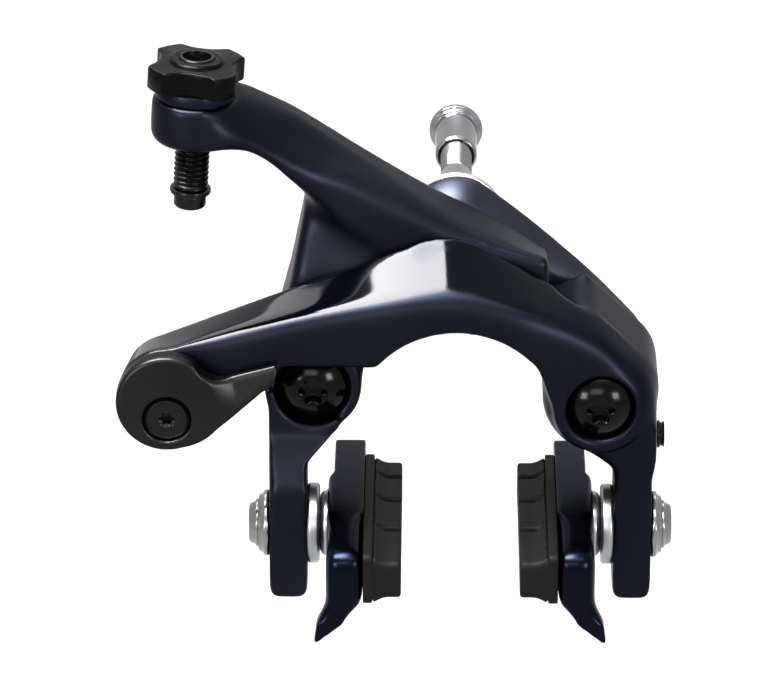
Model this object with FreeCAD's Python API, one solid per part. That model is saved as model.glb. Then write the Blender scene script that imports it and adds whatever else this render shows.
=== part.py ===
"""Dual-pivot bicycle rim brake caliper, as it comes apart on the bench.

Millimetres. +Z up, +X to the right and -Y to the front, as a rider facing the brake sees it.
The origin lies on the mounting stud's axis, where the seat washer meets the fork.
The front arm turns on the right pivot, the rear arm on the left one, and a roller on the
rear arm's tip runs on a ramp of the front arm, so that both close by the same angle.
"""
import FreeCAD, Part
import math
import os

V = FreeCAD.Vector

# Driving dimensions: pivots and reach
pivot_span = 52.9          # between the two pivot axes
pivot_drop = 24.5          # pivot axes below the stud axis
reach = 52.0               # shoe bolt below the stud axis, middle of its slot
slot_travel = 5.0          # shoe bolt up or down from the middle
shoe_depth = 24.6          # shoe bolt in front of the fork

# Layers from the fork to the front
washer_thick = 1.2
bridge_thick = 6.8
thrust_gap = 0.1           # running gap at the thrust washers
thrust_thick = 0.5
rear_arm_depth = 15.9      # front to back at its pivot
arm_gap = 0.5              # between rear arm and front arm
front_arm_depth = 11.0     # at the arch
fit = 0.04                 # radial running fit of journals
loose = 0.3                # gap between parts that only pass each other
seat = 0.02                # gap of parts pressed or screwed together

# Stud and nut
stud_radius = 3.0
stud_root_radius = 3.25    # where it sits in the bridge
stud_thread_radius = 2.7   # between root and crest of the M6 thread
stud_plain = 18.6          # plain length inside the fork
stud_out = 39.0            # length behind the fork face
nut_back = 43.3
nut_socket_across = 5.0
nut_radius = 4.0
nut_flange_radius = 5.15
nut_length = 14.2
nut_flange_thick = 1.6
seat_washer_radius = 8.8

# Bridge and pivots
boss_radius = 9.0
boss_round = 0.8           # rounded rims of bosses
flank_bulge = 0.9          # bridge's flanks outside the bosses' tangents
arch_radius = 18.7         # tyre arch
arch_top = 8.6             # arch crown below the stud axis
journal_radius = 4.0
pivot_thread_radius = 3.0
bush_wall = 1.1
head_radius = 5.95
head_thick = 2.2
head_crown = 1.1
head_recess = 0.3
star_radius = 2.3
star_depth = 1.8

# Front arm
front_boss_radius = 9.3    # left end, behind the lever's disc
front_boss_back = 7.7      # the same at its back
front_boss_x = -52.75
front_boss_z = -20.8
crest_x = -1.7             # top of the glossy facet
crest_z = 6.6
ridge_crest_z = -2.35
right_boss_radius = 10.6
plateau_radius = 8.3
front_sweep = 2.5          # how far the front face falls back at the right pivot
shoulder_x = 21.0
shoulder_z = -4.8

# Legs and shoe slots
leg_width = 7.0
leg_depth = 12.7
leg_below_slot = 12.8
leg_left_out = 4.65        # leg's middle outside the left pivot
leg_right_out = 6.35
slot_clear = 0.2
leg_corner = 1.4

# Rear arm
barrel_x = -47.9
barrel_z = 24.6            # underside of the barrel boss
barrel_lean = 3.5          # degrees, the lower end towards the left
barrel_boss_radius = 7.8
barrel_boss_height = 8.8
barrel_depth = 24.0
web_set_back = 1.2         # web face behind the spar's front
tip_x = 17.0

# Link roller and ramp
roller_x = 14.0
roller_z = -4.5
roller_radius = 2.5
roller_length = 7.0
roller_pin_radius = 1.2
cheek_radius = 2.2
roller_gap = 0.08
ramp_proud = 1.4           # ramp above the shoulder beside it
close_angle = 12.0         # degrees that each arm closes

# Barrel adjuster
thread_radius = 3.2
barrel_below = 12.7
barrel_top = 41.1
cable_bore_radius = 1.1
housing_radius = 2.6
housing_seat_depth = 8.0
collar_radius = 7.3
collar_height = 2.2
knob_radius = 9.1
knob_height = 4.3
knob_waist = 5.6
knob_hollow = 8.5          # radius of the hollows between the lobes
knob_turned = 8.0          # degrees that a hollow stands left of the front
knob_lobes = 4
stem_radius = 4.8          # raised middle of the knob
stem_height = 0.9
ring_radius = 3.75
ring_up = 3.2              # ring above the barrel's lower end

# Quick-release lever, anchor bolt and clamp
lever_thick = 3.7
lever_radius = 9.3
lever_tip_x = -32.9
lever_tip_z = -14.0
hub_radius = 6.6
anchor_drop = 3.0          # anchor bolt below the disc's centre
anchor_head_radius = 3.7
anchor_recess_radius = 4.4
anchor_shank_radius = 2.5
clamp_thick = 2.0
clamp_radius = 6.0
clamp_nut_across = 8.0
clamp_nut_thick = 4.0
cable_radius = 0.8

# Centering screw
centering_radius = 1.75
centering_head_radius = 2.6
centering_head = 1.3
centering_z = -35.6
centering_y = -20.0

# Shoe stack, measured from the leg's inner face towards the rim
inner_washer_thick = 2.3
inner_washer_radius = 7.5
ball_washer_thick = 1.5
ball_washer_radius = 6.1
holder_thick = 5.8
holder_hump = 1.0
holder_height = 11.5
holder_up = 0.9            # holder's middle above the bolt
hump_rear = 7.0            # the thicker front part begins behind the bolt
holder_front = 25.4        # in front of the bolt
holder_rear = 26.0         # behind the bolt
rim_radius = 310.0
pad_thick = 7.0
pad_height = 7.2
pad_up = 1.1
pad_base_height = 9.8
pad_base_thick = 1.8
pad_front = 25.0
pad_rear = 18.6
groove_width = 1.2
groove_depth = 3.2
groove_places = (10.5, 0.2, -11.6)
fin_length = 7.0
fin_root = 6.5             # front to back
fin_out = 1.9              # tip outside the holder
outer_washer_thick = 2.1
outer_washer_radius = 6.2
bolt_radius = 3.0
bolt_head_radius = 3.95
bolt_head_thick = 1.8
pad_screw_radius = 1.9
pad_screw_out = 1.5
pad_screw_behind = 11.0    # behind the shoe bolt

# Return spring
spring_wire = 0.65
spring_radius = 6.6
spring_turns = 3.25
spring_pitch = 1.6
spring_end_gap = 0.6
spring_tang = 2.5          # straight ends, in their holes

# Places worked out from the sizes above
right_x = pivot_span / 2
left_x = -pivot_span / 2
pivot_z = -pivot_drop
bridge_back = -washer_thick
bridge_front = bridge_back - bridge_thick
arm_back = bridge_front - thrust_thick - thrust_gap
rear_front = arm_back - rear_arm_depth
front_back = rear_front - arm_gap
front_face = front_back - front_arm_depth
right_face = front_face + front_sweep
slot_z = -reach
shoe_y = -shoe_depth
leg_front = shoe_y - leg_depth / 2
leg_back = shoe_y + leg_depth / 2
leg_foot = slot_z - leg_below_slot
bush_radius = journal_radius + fit + bush_wall
bore_radius = bush_radius + seat
arch_z = -arch_top - arch_radius
anchor_z = front_boss_z - anchor_drop
leg_left_x = left_x - leg_left_out
leg_right_x = right_x + leg_right_out
left_inner_x = leg_left_x + leg_width / 2
right_inner_x = leg_right_x - leg_width / 2
rear_head_face = rear_front - 0.7
spring_pocket_front = arm_back - spring_turns * spring_pitch - 2 * spring_wire - 2 * spring_end_gap


def rod_y(x, z, radius, y_front, y_back):
    """A cylinder along Y between two depths."""
    return Part.makeCylinder(radius, y_back - y_front, V(x, y_front, z), V(0, 1, 0))


def rod_x(y, z, radius, x_from, x_to):
    """A cylinder along X between two places."""
    return Part.makeCylinder(radius, x_to - x_from, V(x_from, y, z), V(1, 0, 0))


def ring_y(x, z, outer, inner, y_front, y_back):
    """A washer or sleeve whose axis runs along Y."""
    return rod_y(x, z, outer, y_front, y_back).cut(rod_y(x, z, inner, y_front, y_back))


def ring_x(y, z, outer, inner, x_from, x_to):
    """A washer whose axis runs along X."""
    return rod_x(y, z, outer, x_from, x_to).cut(rod_x(y, z, inner, x_from, x_to))


def block(x_range, y_range, z_range):
    """A box between pairs of places, given in either order."""
    low = [min(pair) for pair in (x_range, y_range, z_range)]
    size = [abs(pair[1] - pair[0]) for pair in (x_range, y_range, z_range)]
    return Part.makeBox(*size, V(*low))


def outline(start, legs, place):
    """A closed wire: each leg is an end point, or a mid point and an end point of an arc."""
    edges = []
    here = start
    for leg in legs:
        if len(leg) == 2 and isinstance(leg[0], tuple):
            mid, end = leg
            edges.append(Part.Arc(place(*here), place(*mid), place(*end)).toShape())
        else:
            end = leg
            edges.append(Part.LineSegment(place(*here), place(*end)).toShape())
        here = end
    return Part.Wire(edges)


def front_wire(y, start, legs):
    """A closed wire in the plane of the arms, at depth y."""
    return outline(start, legs, lambda x, z: V(x, y, z))


def plate_y(start, legs, y_front, y_back):
    """A front outline pushed back to a plate."""
    face = Part.Face(front_wire(y_front, start, legs))
    return face.extrude(V(0, y_back - y_front, 0))


def plate_x(start, legs, x_from, x_to):
    """A side outline, given as depth and height, pushed across to a plate."""
    face = Part.Face(outline(start, legs, lambda y, z: V(x_from, y, z)))
    return face.extrude(V(x_to - x_from, 0, 0))


def turned(points, centre, axis):
    """A solid of revolution: points are (radius, distance along the axis)."""
    across = V(0, 0, 1) if abs(axis.z) < 0.5 else V(1, 0, 0)
    places = [centre + across * radius + axis * along for radius, along in points]
    face = Part.Face(Part.makePolygon(places + [places[0]]))
    return face.revolve(centre, axis, 360)


def on_circle(cx, cz, radius, degrees):
    """The point of a circle at an angle from +X towards +Z."""
    turn = math.radians(degrees)
    return (cx + radius * math.cos(turn), cz + radius * math.sin(turn))


def edges_at(shape, test):
    """The edges whose points all satisfy a test."""
    found = []
    for edge in shape.Edges:
        first, last = edge.ParameterRange
        points = [edge.valueAt(first + (last - first) * share) for share in (0.0, 0.5, 1.0)]
        if all(test(point) for point in points):
            found.append(edge)
    return found


def star_socket(x, z, y_mouth, radius, depth):
    """A six-lobed socket opening to the front."""
    tool = rod_y(x, z, radius * 0.78, y_mouth - 0.5, y_mouth + depth)
    for lobe in range(6):
        px, pz = on_circle(x, z, radius * 0.72, 60 * lobe)
        tool = tool.fuse(rod_y(px, pz, radius * 0.28, y_mouth - 0.5, y_mouth + depth))
    return tool


def bridge_profile():
    """Three bosses joined by their outer tangents, open below for the tyre."""
    lean = math.degrees(math.atan2(pivot_drop, right_x))
    top_right = on_circle(0, 0, boss_radius, 90 - lean)
    flank_right = on_circle(right_x, pivot_z, boss_radius, 90 - lean)
    flank_left = (-flank_right[0], flank_right[1])
    top_left = (-top_right[0], top_right[1])
    out = flank_bulge / math.hypot(pivot_drop, right_x)
    bulge_right = ((top_right[0] + flank_right[0]) / 2 + pivot_drop * out,
                   (top_right[1] + flank_right[1]) / 2 + right_x * out)
    inner_right = (right_x - boss_radius, pivot_z)
    inner_left = (-inner_right[0], pivot_z)
    return top_left, [
        ((0, boss_radius), top_right),
        (bulge_right, flank_right),
        (on_circle(right_x, pivot_z, boss_radius, -45), inner_right),
        ((0, -boss_radius), inner_left),
        (on_circle(left_x, pivot_z, boss_radius, 225), flank_left),
        ((-bulge_right[0], bulge_right[1]), top_left),
    ]


def bridge_bracket():
    """Forged rear plate with threaded pivot bosses and the stud's bore."""
    start, legs = bridge_profile()
    body = plate_y(start, legs, bridge_front, bridge_back)
    for x in (left_x, right_x):
        body = body.cut(rod_y(x, pivot_z, pivot_thread_radius + seat, bridge_front - 1, bridge_back + 1))
    body = body.cut(rod_y(0, 0, stud_root_radius + seat, bridge_front - 1, bridge_back + 1))
    rim = edges_at(body, lambda p: abs(p.y - bridge_back) < 1e-6)
    body = body.makeFillet(boss_round, [edge for edge in rim if not edge.isClosed()])
    anchor_x, anchor_y = on_circle(left_x, pivot_z, spring_radius, 90)
    return body.cut(rod_y(anchor_x, anchor_y, spring_wire + loose / 3,
                        bridge_front - 1, bridge_front + spring_tang + 0.5))


def mounting_stud():
    """Stud pressed into the bridge: flat head in front, plain shank, thinner threaded end."""
    head_radius_here = stud_root_radius + 1.0
    points = [
        (0, bridge_front - thrust_thick),
        (head_radius_here, bridge_front - thrust_thick),
        (head_radius_here, bridge_front),
        (stud_root_radius, bridge_front),
        (stud_root_radius, 0),
        (stud_radius, 0),
        (stud_radius, stud_plain),
        (stud_thread_radius, stud_plain),
        (stud_thread_radius, stud_out - 0.8),
        (stud_thread_radius - 0.8, stud_out),
        (0, stud_out),
    ]
    return turned(points, V(0, 0, 0), V(0, 1, 0))


def seat_washer():
    """Serrated washer that grips the fork."""
    body = ring_y(0, 0, seat_washer_radius, stud_root_radius + fit, bridge_back, 0)
    for notch in range(36):
        x, z = on_circle(0, 0, seat_washer_radius + 0.15, 10 * notch)
        body = body.cut(rod_y(x, z, 0.4, bridge_back - 1, 1))
    return body


def mounting_nut():
    """Sleeve nut that sinks into the back of the fork, flanged at its rear end."""
    back = nut_back
    front = back - nut_length
    bore = stud_thread_radius + fit
    points = [
        (bore, front),
        (nut_radius - 0.4, front),
        (nut_radius, front + 0.4),
        (nut_radius, back - nut_flange_thick),
        (nut_flange_radius, back - nut_flange_thick),
        (nut_flange_radius, back - 0.3),
        (nut_flange_radius - 0.3, back),
        (bore, back),
    ]
    body = turned(points, V(0, 0, 0), V(0, 1, 0))
    corners = [on_circle(0, 0, nut_socket_across / math.sqrt(3), 60 * side) for side in range(6)]
    return body.cut(plate_y(corners[0], corners[1:] + [corners[0]], stud_out + 0.5, back + 1))


def pivot_screw(x, head_face):
    """Domed screw whose plain shank is the arm's journal."""
    seat_y = head_face + head_thick
    points = [(0, head_face - head_crown)]
    for share in (0.35, 0.7, 0.92):
        points.append((head_radius * share, head_face - head_crown * (1 - share * share)))
    points += [
        (head_radius, head_face + 0.5),
        (head_radius, seat_y),
        (journal_radius, seat_y),
        (journal_radius, bridge_front),
        (pivot_thread_radius, bridge_front),
        (pivot_thread_radius, bridge_back + 0.4),
        (0, bridge_back + 0.4),
    ]
    body = turned(points, V(x, 0, pivot_z), V(0, 1, 0))
    return body.cut(star_socket(x, pivot_z, head_face - head_crown, star_radius, star_depth))


def pivot_bush(x, head_face):
    """Plain bush pressed into the arm, turning on the journal."""
    front = head_face + head_thick + thrust_gap
    return ring_y(x, pivot_z, bush_radius, journal_radius + fit, front, arm_back)


def thrust_washer(x):
    """Thin washer between bridge and arm."""
    return ring_y(x, pivot_z, bush_radius + 0.6, journal_radius + fit, bridge_front - thrust_thick, bridge_front)


def front_arch_legs(ridge):
    """The front arm's outline from the left boss over the arch to the right pivot.

    With ridge set it follows the lower edge of the glossy facet, otherwise the upper edge.
    """
    radius = front_boss_radius if ridge else front_boss_back
    under = on_circle(front_boss_x, front_boss_z, radius, -28)
    if ridge:
        rise = (front_boss_x + 0.6, front_boss_z + radius)
        mid_left = (-28.0, -5.6)
        crest_a = (-6.0, ridge_crest_z - 0.25)
        crest_b = (5.2, ridge_crest_z - 0.75)
        crest_m = (-0.4, ridge_crest_z)
        shoulder = (26.2, -12.4)
        shoulder_m = (16.2, -6.6)
        outer = plateau_radius
        corner = on_circle(right_x, pivot_z, outer, 52)
        corner_m = (29.6, -14.9)
    else:
        rise = on_circle(front_boss_x, front_boss_z, radius, 113)
        mid_left = (-30.6, -3.55)
        crest_a = (-9.6, 4.6)
        crest_b = (5.3, 4.45)
        crest_m = (crest_x, crest_z)
        shoulder = (shoulder_x, shoulder_z)
        shoulder_m = (13.1, -0.1)
        outer = right_boss_radius
        corner = on_circle(right_x, pivot_z, outer, 47)
        corner_m = ((shoulder[0] + corner[0]) / 2 + 0.3, (shoulder[1] + corner[1]) / 2 + 0.3)
    inner = on_circle(right_x, pivot_z, outer - 0.1, 180)
    arch_right = (15.0, arch_z + math.sqrt(arch_radius ** 2 - 15.0 ** 2))
    arch_left = (-14.5, arch_z + math.sqrt(arch_radius ** 2 - 14.5 ** 2))
    knee = (-31.5, -15.2)
    return under, [
        (on_circle(front_boss_x, front_boss_z, radius, 180), rise),
        (mid_left, crest_a),
        (crest_m, crest_b),
        (shoulder_m, shoulder),
        (corner_m, corner),
        (on_circle(right_x, pivot_z, outer, -80), inner),
        arch_right,
        ((0, -arch_top), arch_left),
        knee,
        under,
    ]


def front_arch():
    """The arch of the front arm, with its upright satin face and leaning glossy facet."""
    wires = []
    for y, ridge in ((front_face, True), (front_back, False)):
        start, legs = front_arch_legs(ridge)
        wires.append(front_wire(y, start, legs))
    body = Part.makeLoft(wires, True, True)
    sweep_start = 12.0
    wedge = Part.makePolygon([
        V(sweep_start, front_face, 20),
        V(right_x + 20, front_face, 20),
        V(right_x + 20, front_face + front_sweep * (right_x + 20 - sweep_start) / (right_x - sweep_start), 20),
        V(sweep_start, front_face, 20),
    ])
    return body.cut(Part.Face(wedge).extrude(V(0, 0, -80)))


def ramp_path(lower):
    """Where the roller touches the ramp while both arms close, in the front arm's frame.

    Both arms turn by the same angle in opposite senses, so the contact normal always
    passes through the point halfway between the pivots. The path is sunk by lower.
    """
    touch = []
    for angle in (close_angle + 1.5, close_angle / 2, -2.0):
        turn = math.radians(angle)
        rx, rz = roller_x - left_x, roller_z - pivot_z
        wx = left_x + rx * math.cos(turn) - rz * math.sin(turn)
        wz = pivot_z + rx * math.sin(turn) + rz * math.cos(turn)
        length = math.hypot(wx, wz - pivot_z)
        reach_in = roller_radius + roller_gap + lower
        cx = wx - reach_in * wx / length - right_x
        cz = wz - reach_in * (wz - pivot_z) / length - pivot_z
        touch.append((right_x + cx * math.cos(turn) - cz * math.sin(turn),
                      pivot_z + cx * math.sin(turn) + cz * math.cos(turn)))
    return touch


def under_arch(x):
    """Height of the tyre arch at a distance from the middle."""
    return arch_z + math.sqrt(arch_radius ** 2 - x ** 2)


def front_shoulder():
    """The deep part of the front arm round the right pivot, behind the arch."""
    outer = right_boss_radius
    corner = on_circle(right_x, pivot_z, outer, 47)
    inside = on_circle(right_x, pivot_z, outer - 1.5, 183)
    first, middle, last = ramp_path(ramp_proud)
    start = (first[0], under_arch(first[0]))
    legs = [
        first,
        (middle, last),
        (18.5, -10.2),
        (shoulder_x + 2.8, shoulder_z - 2.6),
        corner,
        (on_circle(right_x, pivot_z, outer, -60), inside),
        (15.6, under_arch(15.6)),
        ((9.0, under_arch(9.0)), start),
    ]
    return plate_y(start, legs, front_back, arm_back)


def ramp():
    """The raised rail of the front arm that carries the rear arm's roller."""
    first, middle, last = ramp_path(0)
    y_mid = (arm_back + rear_front) / 2
    half = roller_length / 2 - 0.2
    start = (first[0], under_arch(first[0]) + 1)
    legs = [first, (middle, last), (last[0] + 1.5, under_arch(14.0) + 1), start]
    return plate_y(start, legs, y_mid - half, y_mid + half)


def leg_profile(side):
    """Front outline of a shoe leg: side is -1 for the left one, 1 for the right one."""
    middle = leg_left_x if side < 0 else leg_right_x
    pivot_x = left_x if side < 0 else right_x
    outer = middle + side * leg_width / 2
    inner = middle - side * leg_width / 2
    hip = pivot_x + side * (right_boss_radius if side > 0 else boss_radius)
    corner = leg_corner
    near = corner * (1 - math.sqrt(0.5))
    start = (inner, leg_foot + corner)
    legs = [
        (inner, slot_z + 13.0),
        ((inner - side * 0.3, slot_z + 13.9), (inner - side * 1.2, slot_z + 15.0)),
        (pivot_x - side * 5.0, pivot_z - 7.6),
        (pivot_x - side * 5.0, pivot_z),
        (hip - side * 0.05, pivot_z),
        (hip, slot_z + 15.5),
        (outer, slot_z + 11.6),
        (outer, leg_foot + corner),
        ((outer - side * near, leg_foot + near), (outer - side * corner, leg_foot)),
        (inner + side * corner, leg_foot),
        ((inner + side * near, leg_foot + near), start),
    ]
    return start, legs


def leg_side(front_top):
    """Side outline of a leg: it leans forward from its boss to the shoe."""
    low, high = slot_z + 9.5, slot_z + 19.0
    start = (leg_front, leg_foot - 1)
    front = []
    if front_top > leg_front:
        lean = (leg_front + 0.36 * (front_top - leg_front), low + 4.0)
        front = [(leg_front, low), (lean, (front_top, high))]
    return start, front + [
        (front_top, pivot_z + 8.0),
        (arm_back, pivot_z + 8.0),
        (arm_back, slot_z + 18.0),
        ((arm_back - 5.5, slot_z + 14.2), (leg_back, slot_z + 7.5)),
        (leg_back, leg_foot - 1),
        start,
    ]


def leg(side, front_top):
    """A shoe leg, with the long hole that lets the shoe move up and down."""
    start, legs = leg_profile(side)
    front = plate_y(start, legs, leg_front - 5, arm_back)
    side_start, side_legs = leg_side(front_top)
    body = front.common(plate_x(side_start, side_legs, -80, 80))
    return body.cut(shoe_slot()).Solids[0]


def shoe_slot():
    """Long hole for the shoe bolt."""
    radius = bolt_radius + slot_clear
    low, high = slot_z - slot_travel, slot_z + slot_travel
    start = (shoe_y - radius, low)
    legs = [
        (shoe_y - radius, high),
        ((shoe_y, high + radius), (shoe_y + radius, high)),
        (shoe_y + radius, low),
        ((shoe_y, low - radius), start),
    ]
    return plate_x(start, legs, -80, 80)


def front_arm():
    """C-shaped front arm."""
    body = front_arch()
    body = body.fuse(front_shoulder())
    body = body.fuse(ramp())
    boss = turned([
        (0, right_face), (plateau_radius, right_face), (right_boss_radius - 0.6, right_face + 3.2),
        (right_boss_radius, right_face + 5.5), (right_boss_radius, arm_back), (0, arm_back),
    ], V(right_x, 0, pivot_z), V(0, 1, 0))
    body = body.fuse(boss)
    body = body.fuse(leg(1, right_face + 2.0))
    left_end = Part.makeCone(front_boss_radius, front_boss_back, front_arm_depth,
                             V(front_boss_x, front_face, front_boss_z), V(0, 1, 0))
    body = body.fuse(left_end)
    body = body.cut(rod_y(right_x, pivot_z, bore_radius, front_face - 5, arm_back + 1))
    recess_floor = right_face + head_recess + head_thick
    body = body.cut(rod_y(right_x, pivot_z, head_radius + 0.25, front_face - 5, recess_floor))
    body = body.cut(rod_y(front_boss_x, front_boss_z, hub_radius + fit, front_face - 1, front_back + 1))
    hole_from = right_x + bore_radius
    body = body.cut(rod_x(centering_y, centering_z, centering_radius + fit, hole_from, 60))
    return body.removeSplitter()


def spar_section(x, y_back, z_top, y_ridge, z_ridge, y_front, z_front, z_low):
    """One station of the rear arm's upper spar, square to X."""
    points = [
        V(x, y_back, z_low), V(x, y_back, z_top), V(x, y_ridge, z_ridge),
        V(x, y_front, z_front), V(x, y_front, z_low),
    ]
    return Part.makePolygon(points + [points[0]])


def spar():
    """Upper spar of the rear arm, from the barrel boss down to the roller."""
    back = arm_back
    front = rear_front
    wires = [
        spar_section(-44.5, -17.2, 33.4, -28.0, 33.4, -31.2, 30.5, 24.9),
        spar_section(-38.5, -14.0, 32.2, -23.0, 32.4, -29.6, 27.6, 24.0),
        spar_section(-35.2, -12.2, 29.9, -20.5, 30.2, -28.2, 25.2, 21.9),
        spar_section(-31.0, -10.3, 27.0, -18.0, 27.6, -26.6, 22.0, 17.6),
        spar_section(-22.0, back, 20.6, -16.5, 20.9, front, 17.1, 8.0),
        spar_section(-12.0, back, 14.1, -19.3, 14.8, front, 12.0, 1.0),
        spar_section(-3.0, back, 8.8, -21.5, 9.2, front, 8.0, -4.0),
        spar_section(5.0, back, 4.6, -22.6, 5.3, front, 4.7, -3.2),
        spar_section(11.0, back, 0.9, -23.3, 3.1, front, 2.4, -4.6),
        spar_section(tip_x, back, -3.4, -23.6, 1.6, front, 0.9, -5.4),
    ]
    body = Part.makeLoft(wires, True, False)
    return body.common(block((-60, tip_x + 1), (-60, back), (-30, 60)))


def rear_web():
    """Web between the spar and the left pivot."""
    start = (-30.8, 18.0)
    boss = boss_radius
    legs = [
        ((-28.1, 13.8), (-27.9, 9.6)),
        (-30.6, -4.0),
        (left_x - boss, pivot_z + 2.0),
        (on_circle(left_x, pivot_z, boss, 250), (left_x + boss, pivot_z)),
        ((-13.4, -13.4), (-4.0, -6.6)),
        (-1.0, -4.0),
        (3.0, 3.0),
        (-4.0, 8.0),
        (-22.0, 19.0),
        start,
    ]
    return plate_y(start, legs, rear_front + web_set_back, arm_back)


def roller_fork():
    """Cheeks at the rear arm's tip that hold the roller's pin, and the room between them."""
    y_mid = (arm_back + rear_front) / 2
    half = roller_length / 2 + loose / 2
    cheeks = rod_y(roller_x, roller_z, cheek_radius, rear_front, arm_back)
    room = rod_y(roller_x, roller_z, roller_radius + loose, y_mid - half, y_mid + half)
    tunnel = block((-3.0, tip_x + 1), (y_mid - half, y_mid + half), (-14, roller_z + 2.0))
    return cheeks, room.fuse(tunnel)


def barrel_axis():
    """Foot and direction of the barrel's axis, at the boss's underside."""
    lean = math.radians(barrel_lean)
    return V(barrel_x, -barrel_depth, barrel_z), V(math.sin(lean), 0, math.cos(lean))


def along_barrel(radius, low, high):
    """A cylinder on the barrel's axis, between two heights above the boss's underside."""
    foot, up = barrel_axis()
    return Part.makeCylinder(radius, high - low, foot + up * low, up)


def rear_arm():
    """Y-shaped rear arm."""
    body = spar().fuse(rear_web())
    body = body.fuse(rod_y(left_x, pivot_z, boss_radius, rear_front, arm_back))
    body = body.fuse(leg(-1, rear_front - 1.5))
    boss = along_barrel(barrel_boss_radius, 0, barrel_boss_height)
    boss = boss.makeFillet(2.2, edges_at(boss, lambda p: p.z < barrel_z + 1.5))
    body = body.fuse(boss)
    cheeks, room = roller_fork()
    body = body.fuse(cheeks).cut(room)
    body = body.cut(rod_y(roller_x, roller_z, roller_pin_radius + seat, rear_front - 1, arm_back + 1))
    body = body.cut(along_barrel(collar_radius + loose, barrel_boss_height, barrel_boss_height + 8))
    body = body.cut(along_barrel(thread_radius + fit, -8, barrel_boss_height + 8))
    body = body.cut(rod_y(left_x, pivot_z, bore_radius, rear_front - 8, arm_back + 1))
    body = body.cut(rod_y(left_x, pivot_z, spring_radius + spring_wire + 0.5, spring_pocket_front, arm_back + 1))
    scoop = rod_y(left_x, pivot_z, head_radius + 0.9, leg_front - 5, rear_head_face + head_thick)
    body = body.cut(scoop)
    body = body.cut(rod_y(left_x + 4.2, pivot_z + 4.2, 9.6, leg_front - 5, rear_front))
    hook_x, hook_z = on_circle(left_x, pivot_z, spring_radius, 90 + 360 * spring_turns)
    body = body.cut(rod_y(hook_x, hook_z, spring_wire + loose / 3,
                          spring_pocket_front - spring_tang - 0.5, spring_pocket_front + 1))
    return body.removeSplitter()


def link_roller():
    """Hardened roller that runs on the front arm's ramp."""
    y_mid = (arm_back + rear_front) / 2
    half = roller_length / 2
    return ring_y(roller_x, roller_z, roller_radius, roller_pin_radius + fit, y_mid - half, y_mid + half)


def roller_pin():
    """Pin of the link roller, flush in the rear arm's cheeks."""
    return rod_y(roller_x, roller_z, roller_pin_radius, rear_front + 0.3, arm_back - 0.3)


def return_spring():
    """Coil round the left pivot, one end in the bridge and the other in the rear arm."""
    start_y = arm_back - spring_end_gap - spring_wire
    length = spring_turns * spring_pitch
    helix = Part.makeHelix(spring_pitch, length, spring_radius)
    section = Part.Wire(Part.makeCircle(spring_wire, V(spring_radius, 0, 0), V(0, 1, 0)))
    coil = Part.Wire(helix.Edges).makePipeShell([section], True, True)
    coil.rotate(V(0, 0, 0), V(1, 0, 0), 90)
    coil.rotate(V(0, 0, 0), V(0, 1, 0), -90)
    coil.translate(V(left_x, start_y, pivot_z))
    back_x, back_z = on_circle(left_x, pivot_z, spring_radius, 90)
    front_x, front_z = on_circle(left_x, pivot_z, spring_radius, 90 + 360 * spring_turns)
    end_y = start_y - length
    coil = coil.fuse(rod_y(back_x, back_z, spring_wire, start_y, bridge_front + spring_tang))
    coil = coil.fuse(Part.makeSphere(spring_wire, V(back_x, start_y, back_z)))
    coil = coil.fuse(rod_y(front_x, front_z, spring_wire, spring_pocket_front - spring_tang, end_y))
    return coil.fuse(Part.makeSphere(spring_wire, V(front_x, end_y, front_z)))


def adjuster_barrel():
    """Threaded tube that the cable runs through, with the housing's seat in its top."""
    foot, up = barrel_axis()
    top = barrel_top - barrel_z
    points = [
        (cable_bore_radius, -barrel_below),
        (thread_radius - 0.5, -barrel_below),
        (thread_radius, -barrel_below + 0.5),
        (thread_radius, -barrel_below + ring_up - 0.6),
        (thread_radius - 0.5, -barrel_below + ring_up - 0.6),
        (thread_radius - 0.5, -barrel_below + ring_up + 0.6),
        (thread_radius, -barrel_below + ring_up + 0.6),
        (thread_radius, top),
        (housing_radius, top),
        (housing_radius, top - housing_seat_depth),
        (cable_bore_radius, top - housing_seat_depth),
    ]
    tube = Part.Face(Part.makePolygon([V(r, 0, h) for r, h in points + [points[0]]]))
    solid = tube.revolve(V(0, 0, 0), V(0, 0, 1), 360)
    solid.rotate(V(0, 0, 0), V(0, 1, 0), barrel_lean)
    solid.translate(foot)
    return solid


def adjuster_ring():
    """Retaining ring that stops the barrel from being screwed out."""
    body = along_barrel(ring_radius, -barrel_below + ring_up - 0.5, -barrel_below + ring_up + 0.5)
    return body.cut(along_barrel(thread_radius - 0.5 + seat, -barrel_below, 0))


def adjuster_collar():
    """Collar that seats the knob on the arm."""
    low = barrel_boss_height
    body = along_barrel(collar_radius, low, low + collar_height)
    rim = edges_at(body, lambda p: True)
    body = body.makeChamfer(0.4, [edge for edge in rim if edge.Curve.TypeId == "Part::GeomCircle"])
    return body.cut(along_barrel(thread_radius + fit, low - 1, low + collar_height + 1))


def adjuster_knob():
    """Star knob, four blunt lobes with hollows between them, threaded on the barrel."""
    low = barrel_boss_height + collar_height + thrust_gap
    body = Part.makeCylinder(knob_radius, knob_height, V(0, 0, low))
    for lobe in range(knob_lobes):
        turn = math.radians(360.0 / knob_lobes * lobe - 90 - knob_turned)
        away = knob_waist + knob_hollow
        centre = V(away * math.cos(turn), away * math.sin(turn), low - 1)
        body = body.cut(Part.makeCylinder(knob_hollow, knob_height + 2, centre))
    stem_low = low + knob_height
    body = body.fuse(Part.makeCone(knob_waist - 0.2, stem_radius, stem_height, V(0, 0, stem_low)))
    body = body.cut(Part.makeCylinder(thread_radius + fit, knob_height + stem_height + 2, V(0, 0, low - 1)))
    foot, up = barrel_axis()
    body.rotate(V(0, 0, 0), V(0, 1, 0), barrel_lean)
    body.translate(foot)
    return body


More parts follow.
